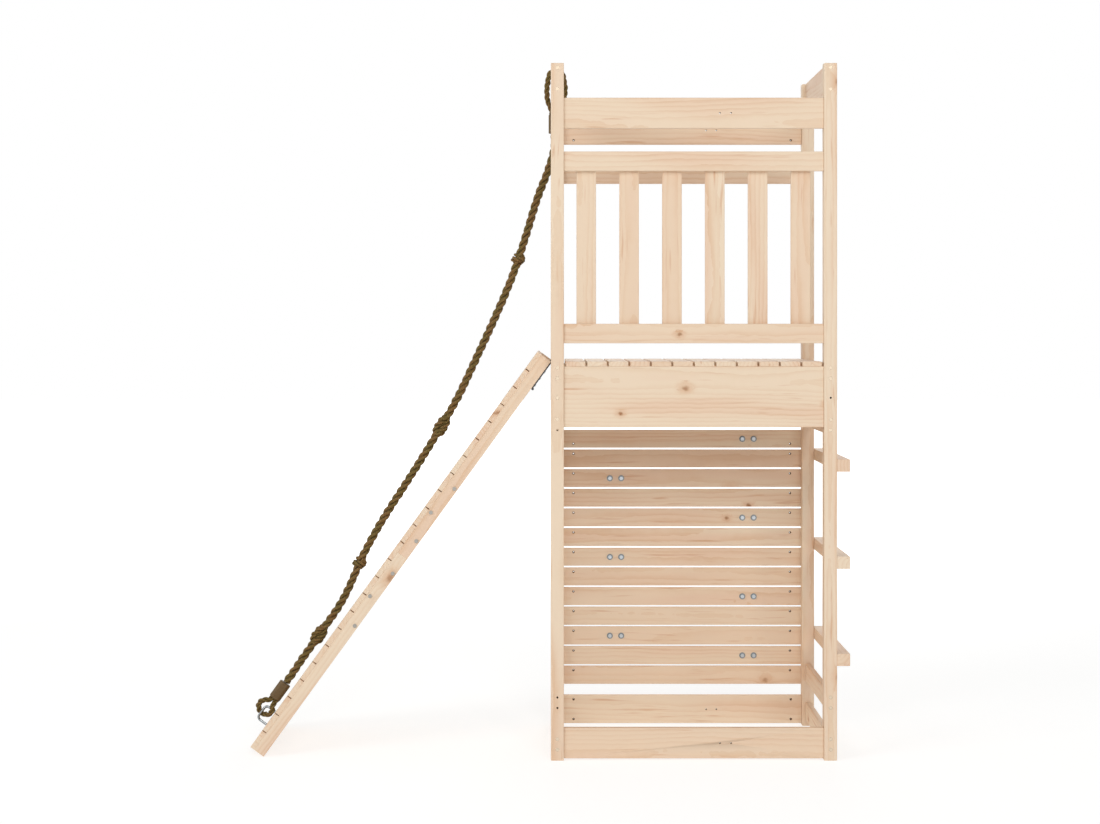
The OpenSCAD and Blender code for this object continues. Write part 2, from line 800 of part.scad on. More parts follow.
// A smooth curve through points, with a number of steps from point to point
function curve_point(a, b, c, d, t) =
    (2 * b + (c - a) * t + (2 * a - 5 * b + 4 * c - d) * t * t + (3 * b - a - 3 * c + d) * t * t * t) / 2;

function smooth(pts, steps) = [
    for (i = [0 : len(pts) - 2], k = [0 : steps - 1])
        curve_point(
            pts[max(i - 1, 0)], pts[i], pts[i + 1], pts[min(i + 2, len(pts) - 1)], k / steps
        ),
    pts[len(pts) - 1]
];

// The rope, from sleeve to sleeve
rope_points = smooth([for (p = rope_route) [p[0], rope_y, p[1]]], rope_steps);
rope_head = rope_points[0];
rope_foot = rope_points[len(rope_points) - 1];

module rope() {
    last = len(rope_points) - 1;
    radii = [for (i = [0 : last]) rope_d / 2 * (i == 0 || i == last ? neck_share : 1)];
    color(rope_brown) tube(rope_points, radii, rope_sides);
}

// The knots, pulled tight on the rope
module rope_knots() {
    last = len(rope_points) - 1;
    color(rope_brown) for (k = [0 : len(knot_lens) - 1]) {
        i = round(knot_place_shares[k] * last);
        t = heading(rope_points, i);
        translate(rope_points[i]) rotate([0, atan2(t.x, t.z), 0])
            scale([knot_d, knot_d, knot_lens[k]]) sphere(d = 1, $fn = 24);
    }
}

// A pressed sleeve, along +Z from the rope
module sleeve() {
    color(sleeve_brown) translate([0, 0, swing_clear]) linear_extrude(height = sleeve_len) {
        square([sleeve_w - sleeve_t, sleeve_t], center = true);
        for (side = [-1, 1]) translate([side * (sleeve_w - sleeve_t) / 2, 0]) circle(d = sleeve_t);
    }
}

module top_sleeve() {
    translate(rope_head) sleeve();
}

module foot_sleeve() {
    translate(rope_foot) rotate([0, -ramp_angle - 90, 0]) sleeve();
}

// The eyes: the strand runs from its sleeve round its anchor and back
module eye(pts) {
    radii = [for (p = pts) eye_d / 2];
    color(rope_brown) tube(pts, radii, eye_sides);
}

module top_eye() {
    base = rope_head + [0, 0, swing_clear + sleeve_len + soft_clear];
    eye([for (p = top_eye_route) base + [p[0], 0, p[1]]]);
}

module foot_eye() {
    up = [cos(ramp_angle), 0, sin(ramp_angle)];
    out = [-sin(ramp_angle), 0, cos(ramp_angle)];
    base = rope_foot - up * (swing_clear + sleeve_len + soft_clear);
    eye([for (p = foot_eye_route) base + p[0] * up + [0, p[1], 0] + p[2] * out]);
}

// The screws of the rails
module frame_screws() {
    color(zinc) {
        for (end = [-1, 1], side = [-1, 1]) {
            for (rail = rails_of_end(end)) at_face_screws(rail, end, side) frame_screw();
            for (rail = rails_of_side(side)) at_side_screws(rail, end, side) frame_screw();
        }
    }
}

module rung_bolts() {
    color(zinc) for (i = [0 : rung_count - 1], end = [-1, 1]) at_rung_bolt(i, end) rung_bolt();
}

module ramp_bolts() {
    color(zinc) on_ramp() for (end = [-1, 1]) at_splice_bolts(end) splice_bolt();
}

module bracket_screws() {
    color(zinc) {
        on_ramp() bracket_beam_screws() bracket_screw();
        bracket_up_screws() bracket_screw();
    }
}

// All screws of the boards and slats
module board_screws() {
    color(zinc) {
        deck_pins() pin();
        slat_pins() pin();
        wall_pins() pin();
        on_ramp() ramp_pins() pin();
    }
}

post_front_left();
post_front_right();
post_back_left();
post_back_right();
front_top_rail();
hand_rail();
foot_rail();
front_fascia();
front_bottom_rail();
back_top_rail();
back_guard_rail();
back_fascia();
back_bottom_rail();
left_top_rail();
left_joist();
left_lower_joist();
left_bottom_rail();
right_top_rail();
right_joist();
right_lower_joist();
right_second_rail();
right_bottom_rail();
for (i = [0 : slat_count - 1]) slat(i);
for (i = [0 : rung_count - 1]) rung(i);
deck_boards();
wall_boards();
climbing_holds();
hold_bolts();
ramp_beam_front_lower();
ramp_beam_front_upper();
ramp_beam_back_lower();
ramp_beam_back_upper();
ramp_splice_front();
ramp_splice_back();
ramp_boards();
bracket_front();
bracket_back();
rope_anchor();
anchor_nuts();
rope();
rope_knots();
top_eye();
top_sleeve();
foot_eye();
foot_sleeve();
frame_screws();
board_screws();
rung_bolts();
ramp_bolts();
bracket_screws();
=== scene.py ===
"""Wooden climbing frame: planed pine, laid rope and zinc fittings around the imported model."""

import math
import random

import bmesh
import bpy
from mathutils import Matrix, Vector, noise


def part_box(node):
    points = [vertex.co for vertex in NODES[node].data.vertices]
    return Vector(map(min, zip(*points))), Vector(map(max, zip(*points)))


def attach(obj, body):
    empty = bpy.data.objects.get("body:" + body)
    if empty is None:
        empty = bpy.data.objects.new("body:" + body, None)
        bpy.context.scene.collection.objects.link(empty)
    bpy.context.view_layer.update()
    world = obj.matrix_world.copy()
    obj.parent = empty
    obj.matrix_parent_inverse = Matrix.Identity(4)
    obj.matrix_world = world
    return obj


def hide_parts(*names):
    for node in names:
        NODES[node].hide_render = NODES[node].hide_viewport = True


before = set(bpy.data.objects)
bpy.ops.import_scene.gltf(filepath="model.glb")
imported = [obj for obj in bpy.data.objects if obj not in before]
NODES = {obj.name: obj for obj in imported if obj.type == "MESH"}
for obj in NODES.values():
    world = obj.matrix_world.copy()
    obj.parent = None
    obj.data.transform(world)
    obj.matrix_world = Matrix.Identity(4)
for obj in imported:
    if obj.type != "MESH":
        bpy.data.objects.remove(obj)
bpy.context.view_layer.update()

# Picture size of the view, in pixels, and the middle of its perspective
IMAGE_W, IMAGE_H = 1100, 824
PERSPECTIVE_Y = 327

# Slope of the ramp
RAMP_RISE, RAMP_LEN = 1.223, 1.512
SLOPE = Vector((math.sqrt(RAMP_LEN ** 2 - RAMP_RISE ** 2) / RAMP_LEN, 0, RAMP_RISE / RAMP_LEN))
SLOPE_OUT = Vector((-SLOPE.z, 0, SLOPE.x))

# Rope, in metres
ROPE_Y = -0.0305
ROPE_D = 0.022
EYE_D = 0.016
ROPE_LAY = 0.078
EYE_LAY = 0.056
SLEEVE_LEN = 0.060
SWING_CLEAR = 0.0006
SOFT_CLEAR = 0.0003
ROPE_ROUTE = [
    (18, 1950), (18, 1910), (10, 1872), (-10, 1812), (-38, 1740), (-76, 1616), (-120, 1486),
    (-174, 1358), (-234, 1228), (-296, 1098), (-370, 970), (-450, 842), (-532, 714), (-594, 602),
    (-660, 458), (-738, 342), (-794, 262), (-824, 217), (-845, 188),
]
TOP_EYE_ROUTE = [
    (-8.5, 0), (-8.5, 10), (-15, 28), (-22, 46), (-24, 66), (-24, 88), (-21, 108), (-17, 125.5),
    (-11, 137.3), (3, 137.8), (16, 137.9), (24, 134.6), (28, 124), (31, 108), (33.5, 92), (34, 74),
    (31, 52), (24, 34), (14, 19), (8.5, 10), (8.5, 0),
]
FOOT_EYE_ROUTE = [
    (0, 0, 8.5), (-10, 0, 8.5), (-21, 1, 20), (-30, 2, 28), (-40, 4, 30), (-50, 7, 28), (-59, 10, 21),
    (-63, 12.5, 14), (-64.5, 12.6, 8), (-64, 11, 2), (-62, 8, -3), (-57, 1, -11), (-48.5, -6, -16.5),
    (-40, -12, -18), (-33, -12.8, -17), (-25, -11, -12), (-18, -5, -9), (-10, 0, -8.5), (0, 0, -8.5),
]
KNOT_PLACES = [0.307, 0.537, 0.734, 0.833]
KNOT_LENGTHS = [0.046, 0.074, 0.048, 0.068]
KNOT_D = 0.046
# A knot longer than this shows strands that run along it
LONG_KNOT = 0.060


def metres(*numbers):
    return Vector([n / 1000 for n in numbers])


def curve_through(points, steps):
    """A smooth curve through points, with a number of steps from point to point."""
    found = []
    last = len(points) - 1
    for i in range(last):
        a, b = points[max(i - 1, 0)], points[i]
        c, d = points[i + 1], points[min(i + 2, last)]
        for k in range(steps):
            t = k / steps
            found.append((2 * b + (c - a) * t + (2 * a - 5 * b + 4 * c - d) * t ** 2
                          + (3 * b - a - 3 * c + d) * t ** 3) / 2)
    return found + [points[last]]


def even_steps(points, step):
    """Points along the same line, evenly spaced, with both ends kept."""
    lengths = [0.0]
    for a, b in zip(points, points[1:]):
        lengths.append(lengths[-1] + (b - a).length)
    count = max(2, round(lengths[-1] / step))
    found, i = [], 0
    for k in range(count + 1):
        want = lengths[-1] * k / count
        while i < len(points) - 2 and lengths[i + 1] < want:
            i += 1
        share = (want - lengths[i]) / (lengths[i + 1] - lengths[i])
        found.append(points[i].lerp(points[i + 1], min(share, 1.0)))
    return found


# Camera
camera_data = bpy.data.cameras.new("camera")
camera_data.sensor_width = 36
camera_data.lens = 66.03
camera_data.shift_y = (PERSPECTIVE_Y - IMAGE_H / 2) / IMAGE_W
camera_data.clip_end = 100
camera = bpy.data.objects.new("camera", camera_data)
camera.location = (0.0035, -6.5065, 1.330)
camera.rotation_euler = (math.radians(90), 0, 0)
bpy.context.scene.collection.objects.link(camera)
bpy.context.scene.camera = camera


def linear(hex_colour):
    """An sRGB hex colour as linear RGBA."""
    parts = [int(hex_colour[i:i + 2], 16) / 255 for i in (1, 3, 5)]
    return [p / 12.92 if p <= 0.04045 else ((p + 0.055) / 1.055) ** 2.4 for p in parts] + [1.0]


def add(tree, kind, inputs=None, **settings):
    """A shader node with its settings and its inputs, which are values or other nodes' sockets."""
    made = tree.nodes.new("ShaderNode" + kind)
    for name, value in settings.items():
        setattr(made, name, value)
    for name, value in (inputs or {}).items():
        if isinstance(value, bpy.types.NodeSocket):
            tree.links.new(value, made.inputs[name])
        else:
            made.inputs[name].default_value = value
    return made


def new_material(name):
    material = bpy.data.materials.new(name)
    material.use_nodes = True
    tree = material.node_tree
    return material, tree, tree.nodes["Principled BSDF"]


# The two sockets of a colour mix, and its result
MIX_A, MIX_B, MIX_OUT = 6, 7, 2


def planed_pine():
    """Planed, untreated pine: pale cream early wood, warmer late wood in long arches, a few brown knots."""
    material, tree, shader = new_material("planed_pine")
    grain = add(tree, "Attribute", attribute_name="grain").outputs["Vector"]
    tone = add(tree, "Attribute", attribute_name="tone").outputs["Fac"]
    # Knots lie in cells of about 300 mm along the grain, and only some cells have one
    ragged = add(tree, "TexNoise", {"Vector": grain, "Scale": 90.0, "Detail": 2.0}).outputs["Color"]
    frayed = add(tree, "VectorMath", {0: ragged, "Scale": 0.010}, operation="SCALE").outputs["Vector"]
    torn = add(tree, "VectorMath", {0: grain, 1: frayed}, operation="ADD").outputs["Vector"]
    parts = add(tree, "SeparateXYZ", {"Vector": torn}).outputs
    run = add(tree, "Math", {0: parts["Z"], 1: 0.7}, operation="MULTIPLY").outputs["Value"]
    cells = add(tree, "CombineXYZ", {"X": parts["X"], "Y": run}).outputs["Vector"]
    knots = add(tree, "TexVoronoi", {"Vector": cells, "Scale": 4.8, "Randomness": 0.9}, voronoi_dimensions="2D")
    lots = add(tree, "SeparateColor", {"Color": knots.outputs["Color"]}).outputs
    has_knot = add(tree, "MapRange", {"Value": lots["Red"], 1: 0.54, 2: 0.58}).outputs["Result"]
    # A knot is 8 to 20 mm wide; the grain bends round it over about 60 mm
    size = add(tree, "MapRange", {"Value": lots["Green"], 3: 0.8, 4: 2.0}).outputs["Result"]
    off = add(tree, "Math", {0: knots.outputs["Distance"], 1: size}, operation="MULTIPLY").outputs["Value"]
    core = add(tree, "MapRange", {"Value": off, 1: 0.012, 2: 0.064, 3: 1.0, 4: 0.0},
               interpolation_type="SMOOTHSTEP").outputs["Result"]
    depth = add(tree, "MapRange", {"Value": lots["Blue"], 3: 0.45, 4: 1.0}).outputs["Result"]
    core = add(tree, "Math", {0: core, 1: depth}, operation="MULTIPLY").outputs["Value"]
    halo = add(tree, "MapRange", {"Value": off, 1: 0.0, 2: 0.20, 3: 1.0, 4: 0.0},
               interpolation_type="SMOOTHERSTEP").outputs["Result"]
    knot = add(tree, "Math", {0: core, 1: has_knot}, operation="MULTIPLY").outputs["Value"]
    bend = add(tree, "Math", {0: halo, 1: has_knot}, operation="MULTIPLY").outputs["Value"]
    # Growth rings about the pith, with a slow wander along the stem
    wander_at = add(tree, "VectorMath", {0: grain, 1: (7.0, 7.0, 1.3)}, operation="MULTIPLY").outputs["Vector"]
    wander = add(tree, "TexNoise", {"Vector": wander_at, "Scale": 1.0, "Detail": 2.0}).outputs["Color"]
    shifted = add(tree, "VectorMath", {0: wander, 1: (0.5, 0.5, 0.5)}, operation="SUBTRACT").outputs["Vector"]
    bent = add(tree, "VectorMath", {0: shifted, "Scale": 0.05}, operation="SCALE").outputs["Vector"]
    around = add(tree, "CombineXYZ", {"X": bend, "Y": bend}).outputs["Vector"]
    swell = add(tree, "VectorMath", {0: around, "Scale": 0.012}, operation="SCALE").outputs["Vector"]
    place = add(tree, "VectorMath", {0: grain, 1: bent}, operation="ADD").outputs["Vector"]
    place = add(tree, "VectorMath", {0: place, 1: swell}, operation="ADD").outputs["Vector"]
    # Rings every 12 mm, coarser than pine's 3 to 5 mm so that they show at this distance
    rings = add(tree, "TexWave", {"Vector": place, "Scale": 2 * math.pi / (20 * 0.012), "Distortion": 1.6,
                                  "Detail": 2.0, "Detail Scale": 1.1},
                wave_type="RINGS", rings_direction="Z", wave_profile="SAW").outputs["Fac"]
    late = add(tree, "MapRange", {"Value": rings, 1: 0.35, 2: 1.0}, interpolation_type="SMOOTHSTEP").outputs["Result"]
    # Fibres about 4 mm wide and 200 mm long
    fibre_at = add(tree, "VectorMath", {0: grain, 1: (260.0, 260.0, 5.0)}, operation="MULTIPLY").outputs["Vector"]
    fibres = add(tree, "TexNoise", {"Vector": fibre_at, "Scale": 1.0, "Detail": 3.0, "Roughness": 0.6}).outputs["Fac"]
    # Heartwood warms some stretches of a board
    warm_at = add(tree, "VectorMath", {0: grain, 1: (16.0, 16.0, 1.6)}, operation="MULTIPLY").outputs["Vector"]
    warm = add(tree, "TexNoise", {"Vector": warm_at, "Scale": 1.0, "Detail": 1.0}).outputs["Fac"]
    warm = add(tree, "MapRange", {"Value": warm, 1: 0.42, 2: 0.72, 4: 0.8},
               interpolation_type="SMOOTHSTEP").outputs["Result"]
    streak = add(tree, "Math", {0: late, 1: fibres}, operation="MULTIPLY").outputs["Value"]
    # Some stretches of a board show their rings more than others
    clear = add(tree, "MapRange", {"Value": warm, 1: 0.0, 2: 0.6, 3: 0.45, 4: 1.0}).outputs["Result"]
    faint = add(tree, "Math", {0: streak, 1: clear}, operation="MULTIPLY").outputs["Value"]
    base = add(tree, "Mix", {0: tone, MIX_A: linear("#EAD6BD"), MIX_B: linear("#E7CDB2")}, data_type="RGBA")
    warmed = add(tree, "Mix", {0: warm, MIX_A: base.outputs[MIX_OUT], MIX_B: linear("#E5C6AC")}, data_type="RGBA")
    lined = add(tree, "Mix", {0: faint, MIX_A: warmed.outputs[MIX_OUT], MIX_B: linear("#D8B18A")}, data_type="RGBA")
    # Resin streaks, about 10 mm wide and 200 mm long
    resin_at = add(tree, "VectorMath", {0: place, 1: (95.0, 95.0, 5.0)}, operation="MULTIPLY").outputs["Vector"]
    resin = add(tree, "TexNoise", {"Vector": resin_at, "Scale": 1.0, "Detail": 2.0}).outputs["Fac"]
    resin = add(tree, "MapRange", {"Value": resin, 1: 0.64, 2: 0.76, 4: 0.6}).outputs["Result"]
    streaked = add(tree, "Mix", {0: resin, MIX_A: lined.outputs[MIX_OUT], MIX_B: linear("#CE9C75")}, data_type="RGBA")
    ring_bend = add(tree, "Math", {0: bend, 1: 0.55}, operation="MULTIPLY").outputs["Value"]
    haloed = add(tree, "Mix", {0: ring_bend, MIX_A: streaked.outputs[MIX_OUT], MIX_B: linear("#D2A27A")},
                 data_type="RGBA")
    knotted = add(tree, "Mix", {0: knot, MIX_A: haloed.outputs[MIX_OUT], MIX_B: linear("#9C6B45")}, data_type="RGBA")
    tree.links.new(knotted.outputs[MIX_OUT], shader.inputs["Base Color"])
    rough = add(tree, "MapRange", {"Value": fibres, 3: 0.50, 4: 0.68}).outputs["Result"]
    tree.links.new(rough, shader.inputs["Roughness"])
    height = add(tree, "Math", {0: streak, 1: fibres}, operation="ADD").outputs["Value"]
    bump = add(tree, "Bump", {"Height": height, "Strength": 0.25, "Distance": 0.0004}).outputs["Normal"]
    tree.links.new(bump, shader.inputs["Normal"])
    shader.inputs["IOR"].default_value = 1.5
    shader.inputs["Specular IOR Level"].default_value = 0.35
    return material


def drilled_grain_and_shade():
    """Cut end grain inside drilled holes: rough and matt, in a brown darker than end grain alone, partly painted
    shade inside the holes.
    """
    material, tree, shader = new_material("drilled_end_grain_and_shade")
    where = add(tree, "TexCoord").outputs["Object"]
    # Torn fibres of about 1 mm
    torn = add(tree, "TexNoise", {"Vector": where, "Scale": 1000.0, "Detail": 2.0}).outputs["Fac"]
    tint = add(tree, "Mix", {0: torn, MIX_A: linear("#8A6A4C"), MIX_B: linear("#5E4632")}, data_type="RGBA")
    tree.links.new(tint.outputs[MIX_OUT], shader.inputs["Base Color"])
    shader.inputs["Roughness"].default_value = 0.9
    shader.inputs["Specular IOR Level"].default_value = 0.2
    return material


def zinc_plate(name, colour, low, high):
    """Zinc-plated steel: a bright, slightly bluish metal with cloudy gloss."""
    material, tree, shader = new_material(name)
    where = add(tree, "TexCoord").outputs["Object"]
    # Clouds of the plating about 4 mm across
    clouds = add(tree, "TexNoise", {"Vector": where, "Scale": 260.0, "Detail": 3.0}).outputs["Fac"]
    dark = [c * 0.78 for c in linear(colour)[:3]] + [1.0]
    tint = add(tree, "Mix", {0: clouds, MIX_A: linear(colour), MIX_B: dark}, data_type="RGBA").outputs[MIX_OUT]
    tree.links.new(tint, shader.inputs["Base Color"])
    rough = add(tree, "MapRange", {"Value": clouds, 3: low, 4: high}).outputs["Result"]
    tree.links.new(rough, shader.inputs["Roughness"])
    shader.inputs["Metallic"].default_value = 1.0
    return material


def black_steel():
    """Dark powder-coated strip steel: a fine orange-peel skin with a soft sheen."""
    material, tree, shader = new_material("powder_coated_steel")
    where = add(tree, "TexCoord").outputs["Object"]
    # Orange peel of about 1.5 mm
    peel = add(tree, "TexNoise", {"Vector": where, "Scale": 700.0, "Detail": 2.0}).outputs["Fac"]
    tint = add(tree, "Mix", {0: peel, MIX_A: linear("#3A3735"), MIX_B: linear("#2A2826")}, data_type="RGBA")
    tree.links.new(tint.outputs[MIX_OUT], shader.inputs["Base Color"])
    bump = add(tree, "Bump", {"Height": peel, "Strength": 0.2, "Distance": 0.0003}).outputs["Normal"]
    tree.links.new(bump, shader.inputs["Normal"])
    shader.inputs["Roughness"].default_value = 0.42
    return material


def laid_fibre():
    """Three-strand laid rope of brown split-film fibre: olive-brown yarns, with painted shade darkening the grooves.
    """
    material, tree, shader = new_material("laid_rope_fibre")
    lay = add(tree, "Attribute", attribute_name="lay").outputs["Vector"]
    parts = add(tree, "SeparateXYZ", {"Vector": lay}).outputs
    # Yarns about 3.5 mm apart, drawn that coarse so that they show
    slant = add(tree, "Math", {0: parts["X"], 1: parts["Y"]}, operation="ADD").outputs["Value"]
    turned = add(tree, "CombineXYZ", {"X": slant}).outputs["Vector"]
    yarns = add(tree, "TexWave", {"Vector": turned, "Scale": 2 * math.pi / (20 * 0.0035), "Distortion": 2.5,
                                  "Detail": 2.0, "Detail Scale": 2.0}, bands_direction="X").outputs["Fac"]
    where = add(tree, "TexCoord").outputs["Object"]
    fuzz = add(tree, "TexNoise", {"Vector": where, "Scale": 420.0, "Detail": 4.0, "Roughness": 0.7}).outputs["Fac"]
    patch = add(tree, "TexNoise", {"Vector": where, "Scale": 38.0, "Detail": 2.0}).outputs["Fac"]
    patch = add(tree, "MapRange", {"Value": patch, 1: 0.42, 2: 0.58}).outputs["Result"]
    base = add(tree, "Mix", {0: patch, MIX_A: linear("#736530"), MIX_B: linear("#936B40")}, data_type="RGBA")
    yarned = add(tree, "Mix", {0: yarns, MIX_A: linear("#6A532B"), MIX_B: base.outputs[MIX_OUT]}, data_type="RGBA")
    light = add(tree, "MapRange", {"Value": fuzz, 1: 0.48, 2: 0.72, 4: 0.75}).outputs["Result"]
    lit = add(tree, "Mix", {0: light, MIX_A: yarned.outputs[MIX_OUT], MIX_B: linear("#BBA26E")}, data_type="RGBA")
    # Z of the attribute is how far out of the groove a point lies: painted shade darkens the grooves towards a deep
    # brown
    groove_shade = add(tree, "MapRange", {"Value": parts["Z"], 1: 0.55, 2: 0.96, 3: 0.92, 4: 0.0}).outputs["Result"]
    # The painted groove shade is stronger in some patches of about 13 mm than in others
    groove_shade_patches = add(tree, "TexNoise", {"Vector": where, "Scale": 75.0, "Detail": 2.0}).outputs["Fac"]
    groove_shade_patches = add(tree, "MapRange", {"Value": groove_shade_patches, 1: 0.38, 2: 0.62, 3: 0.35, 4: 1.0}).outputs["Result"]
    groove_shade = add(tree, "Math", {0: groove_shade, 1: groove_shade_patches}, operation="MULTIPLY").outputs["Value"]
    # Painted shade mixed into the grooves
    groove_shaded = add(tree, "Mix", {0: groove_shade, MIX_A: lit.outputs[MIX_OUT], MIX_B: linear("#332813")}, data_type="RGBA")
    tree.links.new(groove_shaded.outputs[MIX_OUT], shader.inputs["Base Color"])
    height = add(tree, "Math", {0: yarns, 1: fuzz}, operation="ADD").outputs["Value"]
    bump = add(tree, "Bump", {"Height": height, "Strength": 0.7, "Distance": 0.0009}).outputs["Normal"]
    tree.links.new(bump, shader.inputs["Normal"])
    shader.inputs["Roughness"].default_value = 0.72
    shader.inputs["Specular IOR Level"].default_value = 0.2
    return material


def moulded_sleeve():
    """Brown moulded plastic over the rope's joint: matt, with a fine grit in its skin."""
    material, tree, shader = new_material("moulded_brown_plastic")
    where = add(tree, "TexCoord").outputs["Object"]
    grit = add(tree, "TexNoise", {"Vector": where, "Scale": 320.0, "Detail": 3.0}).outputs["Fac"]
    tint = add(tree, "Mix", {0: grit, MIX_A: linear("#6E5632"), MIX_B: linear("#54401F")}, data_type="RGBA")
    tree.links.new(tint.outputs[MIX_OUT], shader.inputs["Base Color"])
    bump = add(tree, "Bump", {"Height": grit, "Strength": 0.35, "Distance": 0.0006}).outputs["Normal"]
    tree.links.new(bump, shader.inputs["Normal"])
    shader.inputs["Roughness"].default_value = 0.58
    return material


def cast_resin(name, colour):
    """Cast polyester resin with sand in it: a matt, gritty skin in one colour."""
    material, tree, shader = new_material(name)
    where = add(tree, "TexCoord").outputs["Object"]
    # Grit of about 2 mm, coarse enough to show
    grit = add(tree, "TexNoise", {"Vector": where, "Scale": 520.0, "Detail": 2.0}).outputs["Fac"]
    dark = [c * 0.7 for c in linear(colour)[:3]] + [1.0]
    tint = add(tree, "Mix", {0: grit, MIX_A: linear(colour), MIX_B: dark}, data_type="RGBA").outputs[MIX_OUT]
    tree.links.new(tint, shader.inputs["Base Color"])
    bump = add(tree, "Bump", {"Height": grit, "Strength": 0.5, "Distance": 0.0008}).outputs["Normal"]
    tree.links.new(bump, shader.inputs["Normal"])
    shader.inputs["Roughness"].default_value = 0.66
    return material


PINE = planed_pine()
DRILLED = drilled_grain_and_shade()
ZINC = zinc_plate("zinc_plated_steel", "#C3C8CC", 0.24, 0.42)
BRIGHT_ZINC = zinc_plate("bright_zinc_rod", "#9CA1A4", 0.14, 0.26)
SCREW_ZINC = zinc_plate("yellow_screw_zinc", "#DCCBB4", 0.50, 0.65)
# The holds' washers: the same zinc painted darker, as painted shade round the nuts
WASHER_SHADE_ZINC = zinc_plate("washer_zinc_painted_shade", "#8B9193", 0.40, 0.55)
BOLT_ZINC = zinc_plate("bolt_head_zinc", "#A8A49D", 0.35, 0.50)
BLACK_STEEL = black_steel()
ROPE_FIBRE = laid_fibre()
SLEEVE = moulded_sleeve()


def finished(name, mesh_builder, material, body):
    """A new piece from a bmesh, on its body, with its finish."""
    mesh = bpy.data.meshes.new(name)
    mesh_builder.to_mesh(mesh)
    mesh_builder.free()
    piece = bpy.data.objects.new(name, mesh)
    bpy.context.scene.collection.objects.link(piece)
    mesh.materials.append(material)
    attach(piece, body)
    return piece


# Rope: three strands twisted along a line
STRAND_SIDES = 8
RING_SIDES = 3 * STRAND_SIDES
# Radius of a strand and its distance from the rope's middle, as shares of the rope's radius
STRAND_SHARE, STRAND_OUT_SHARE = 0.54, 0.58
# The strands stand proud of the plain tube, so that a rope is as thick over its grooves as the tube is
ROPE_PROUD, EYE_PROUD = 1.12, 1.08


def strand_outline(angle):
    """Distance of the rope's surface from its middle, as a share of its radius."""
    third = 2 * math.pi / 3
    local = (angle + third / 2) % third - third / 2
    side = STRAND_OUT_SHARE * math.sin(local)
    return STRAND_OUT_SHARE * math.cos(local) + math.sqrt(STRAND_SHARE ** 2 - side ** 2)


def twist_rope(bm, line, radius, lay_length, shares=None):
    """Adds a laid rope along a line, with one share of the radius for each point."""
    lay = bm.verts.layers.float_vector.get("lay") or bm.verts.layers.float_vector.new("lay")
    ring = bmesh.ops.create_circle(bm, cap_ends=False, radius=radius, segments=RING_SIDES)["verts"]
    tangent = (line[1] - line[0]).normalized()
    normal = tangent.orthogonal().normalized()
    start = bm.verts[:][-RING_SIDES:]
    edges = list({e for v in start for e in v.link_edges})
    ends = [edges]
    run = 0.0
    for i, point in enumerate(line):
        if i:
            run += (point - line[i - 1]).length
            grown = bmesh.ops.extrude_edge_only(bm, edges=edges)["geom"]
            ring_new = [g for g in grown if isinstance(g, bmesh.types.BMVert)]
            follow = {}
            for v in ring_new:
                old = next(e.other_vert(v) for e in v.link_edges if e.other_vert(v) in order)
                follow[order[old]] = v
            ring = [follow[k] for k in range(RING_SIDES)]
            edges = [g for g in grown if isinstance(g, bmesh.types.BMEdge)
                     and g.verts[0] in ring_new and g.verts[1] in ring_new]
        order = {v: k for k, v in enumerate(ring)}
        ahead = line[min(i + 1, len(line) - 1)] - line[max(i - 1, 0)]
        turned = ahead.normalized()
        normal = tangent.rotation_difference(turned) @ normal
        tangent = turned
        side = tangent.cross(normal)
        share = shares[i] if shares else 1.0
        for k, v in enumerate(ring):
            angle = 2 * math.pi * k / RING_SIDES
            out = strand_outline(angle)
            turn = angle + 2 * math.pi * run / lay_length
            arm = normal * math.cos(turn) + side * math.sin(turn)
            # Loose yarns make the surface uneven, over about 12 mm
            uneven = 1 + 0.07 * noise.noise((point + arm * radius) * 80) - 0.03
            v.co = point + arm * (radius * out * share * uneven)
            v[lay] = (angle * radius * 2.2, run, out)
    ends.append(edges)
    for loop in ends:
        bmesh.ops.edgeloop_fill(bm, edges=loop)


def smooth_shaded(piece):
    for face in piece.data.polygons:
        face.use_smooth = True


rope_fine = curve_through([metres(x, ROPE_Y * 1000, z) for x, z in ROPE_ROUTE], 12)
rope_line = even_steps(rope_fine, 0.0045)
# The last millimetres taper, so that the rope can turn under its sleeve
TAPER = [(0.0, 0.15), (0.0012, 0.42), (0.0034, 1.0)]
rope_step = (rope_line[1] - rope_line[0]).length
rope_line = ([rope_line[0], rope_line[0].lerp(rope_line[1], TAPER[1][0] / rope_step),
              rope_line[0].lerp(rope_line[1], TAPER[2][0] / rope_step)] + rope_line[1:-1]
             + [rope_line[-1].lerp(rope_line[-2], TAPER[2][0] / rope_step),
                rope_line[-1].lerp(rope_line[-2], TAPER[1][0] / rope_step), rope_line[-1]])
taper_shares = [s for _, s in TAPER]
rope_shares = taper_shares + [ROPE_PROUD] * (len(rope_line) - 6) + taper_shares[::-1]
rope_mesh = bmesh.new()
twist_rope(rope_mesh, rope_line, ROPE_D / 2, ROPE_LAY, rope_shares)
bmesh.ops.recalc_face_normals(rope_mesh, faces=rope_mesh.faces)
rope = finished("climbing_rope", rope_mesh, ROPE_FIBRE, "rope")
smooth_shaded(rope)
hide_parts("rope")


def barrel_strand(middle, axis, out, side, length, strand, reach, quarter):
    """One of the four strands that run along a long knot and swell out at its middle."""
    line = []
    for k in range(21):
        t = k / 20
        swell = math.sin(math.pi * t) ** 0.7
        turn = math.pi / 2 * quarter + math.radians(75) * (t - 0.5)
        line.append(middle + axis * (length - 1.6 * strand) * (t - 0.5)
                    + (out * math.cos(turn) + side * math.sin(turn)) * reach * (0.30 + 0.85 * swell))
    return line


